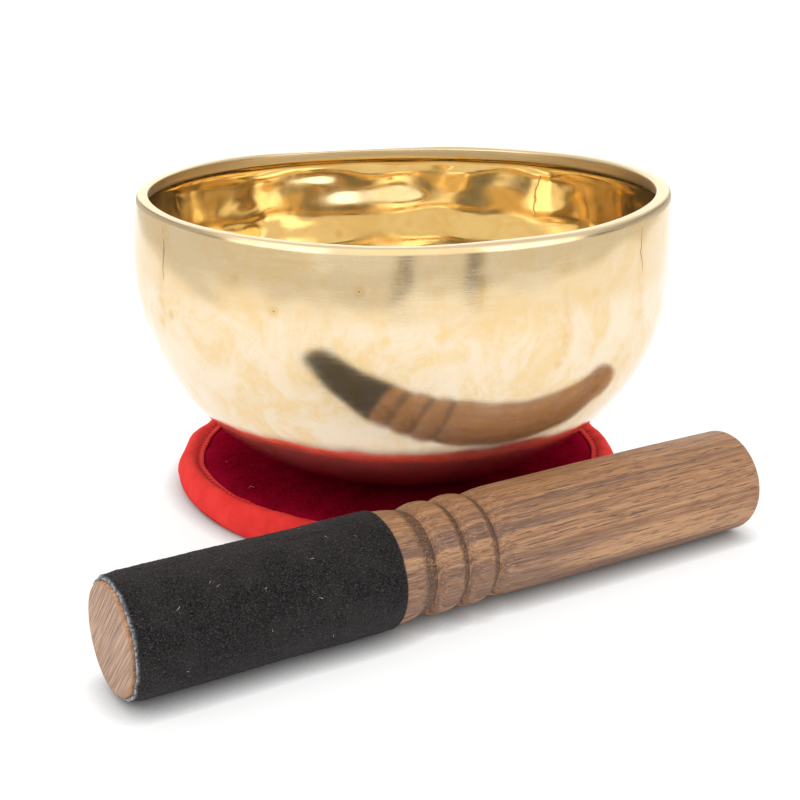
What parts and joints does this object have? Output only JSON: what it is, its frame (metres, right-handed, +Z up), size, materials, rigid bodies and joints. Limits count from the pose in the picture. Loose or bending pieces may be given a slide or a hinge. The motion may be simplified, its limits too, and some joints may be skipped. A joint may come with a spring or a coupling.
{
  "type": "singing bowl set",
  "caption": "Hammered brass singing bowl standing on a round bound velvet mat, with its turned wooden mallet in a suede sleeve lying beside it.",
  "frame": {"origin": "on the table under the middle of the bowl, on the underside of the mat's backing", "axes": "+Z up along the bowl's axis; the mallet lies on the -Y side, its sleeved end towards -X and its handle towards +X"},
  "size_m": [0.1968, 0.2447, 0.1033],
  "materials": {
    "bowl_brass": "hammered and brushed, half polished",
    "velvet": "short pile velvet",
    "wadding": "loose fibre",
    "backing_cotton": "plain weave",
    "binding_cotton": "plain weave, folded",
    "thread": "spun cotton",
    "mallet_wood": "turned and oiled",
    "suede": "napped suede"
  },
  "bodies": {
    "mat": {"mat_velvet": "velvet", "mat_padding": "wadding", "mat_backing": "backing_cotton", "mat_binding": "binding_cotton", "mat_thread_top": "thread", "mat_thread_bobbin": "thread"},
    "bowl": {"bowl": "bowl_brass"},
    "mallet": {"mallet_stick": "mallet_wood", "mallet_suede": "suede"}
  },
  "joints": [
    {"name": "bowl_lift", "type": "slide", "parent": "mat", "child": "bowl", "axis": [0, 0, 1], "range_m": [0, 0.12]},
    {"name": "mallet_lift", "type": "slide", "parent": "mat", "child": "mallet", "axis": [0.2379, -0.3867, 0.891], "range_m": [0, 0.14]}
  ]
}
